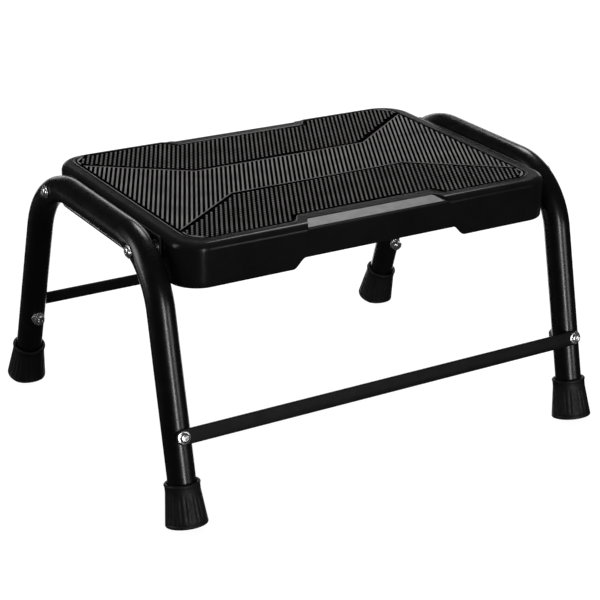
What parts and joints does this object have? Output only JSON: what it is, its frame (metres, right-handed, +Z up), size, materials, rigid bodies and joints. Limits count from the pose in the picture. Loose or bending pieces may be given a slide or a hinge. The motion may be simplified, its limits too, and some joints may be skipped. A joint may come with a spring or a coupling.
{
  "type": "step stool",
  "caption": "Low one-step stool: ribbed rubber tread on a moulded platform between two splayed bent-tube side frames tied by flat braces, on rubber feet.",
  "frame": {"origin": "centre of the footprint, on the floor", "axes": "+X along the long side to the stool's right, -Y towards its front, +Z up"},
  "size_m": [0.471, 0.388, 0.2521],
  "materials": {
    "tube_paint": "gloss black powder coat",
    "brace_paint": "satin black paint",
    "platform_plastic": "satin moulded plastic, fine grain",
    "mat_rubber": "matt ribbed rubber",
    "foot_rubber": "matt moulded rubber",
    "zinc": "bright zinc plate"
  },
  "bodies": {
    "root": {"platform": "platform_plastic", "tread_mat": "mat_rubber", "left_frame": "tube_paint", "left_end_plate": "brace_paint", "right_frame": "tube_paint", "right_end_plate": "brace_paint", "front_brace": "brace_paint", "rear_brace": "brace_paint", "foot_front_left": "foot_rubber", "brace_bolt_front_left": "zinc", "brace_washer_front_left": "zinc", "brace_nut_front_left": "zinc", "platform_bolt_front_left": "zinc", "platform_washer_front_left": "zinc", "platform_nut_front_left": "zinc", "foot_front_right": "foot_rubber", "brace_bolt_front_right": "zinc", "brace_washer_front_right": "zinc", "brace_nut_front_right": "zinc", "platform_bolt_front_right": "zinc", "platform_washer_front_right": "zinc", "platform_nut_front_right": "zinc", "foot_rear_left": "foot_rubber", "brace_bolt_rear_left": "zinc", "brace_washer_rear_left": "zinc", "brace_nut_rear_left": "zinc", "platform_bolt_rear_left": "zinc", "platform_washer_rear_left": "zinc", "platform_nut_rear_left": "zinc", "foot_rear_right": "foot_rubber", "brace_bolt_rear_right": "zinc", "brace_washer_rear_right": "zinc", "brace_nut_rear_right": "zinc", "platform_bolt_rear_right": "zinc", "platform_washer_rear_right": "zinc", "platform_nut_rear_right": "zinc"}
  },
  "joints": []
}
